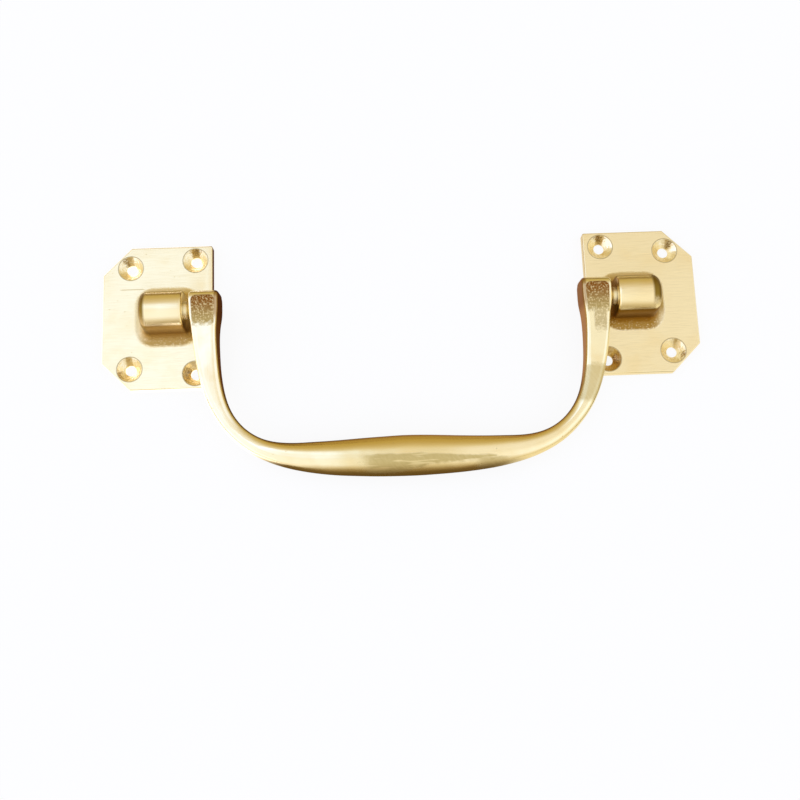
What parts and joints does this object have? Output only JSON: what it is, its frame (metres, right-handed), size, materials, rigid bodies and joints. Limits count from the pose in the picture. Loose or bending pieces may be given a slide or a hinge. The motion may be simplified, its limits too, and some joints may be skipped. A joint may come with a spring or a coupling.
{
  "type": "swinging bail handle",
  "caption": "Swinging bail handle of cast brass with a swelling grip, whose arms turn in barrel bosses on screwed backplates.",
  "frame": {"origin": "on the mounting plane at the plates' backs, midway between the two plates and level with the pivot line", "axes": "+X along the pivot line, +Z out of the panel, -Y the way the bail hangs"},
  "size_m": [0.19, 0.0775, 0.0159],
  "materials": {
    "plate_brass": "cast, face polished with fine brush lines",
    "bail_brass": "cast and polished"
  },
  "bodies": {
    "backplates": {"left_backplate": "plate_brass", "right_backplate": "plate_brass"},
    "bail": {"bail": "bail_brass"}
  },
  "joints": [
    {"name": "bail_swing", "type": "hinge", "parent": "backplates", "child": "bail", "pos_m": [0, 0, 0.0097], "axis": [-1, 0, 0], "range_deg": [0, 188]}
  ]
}
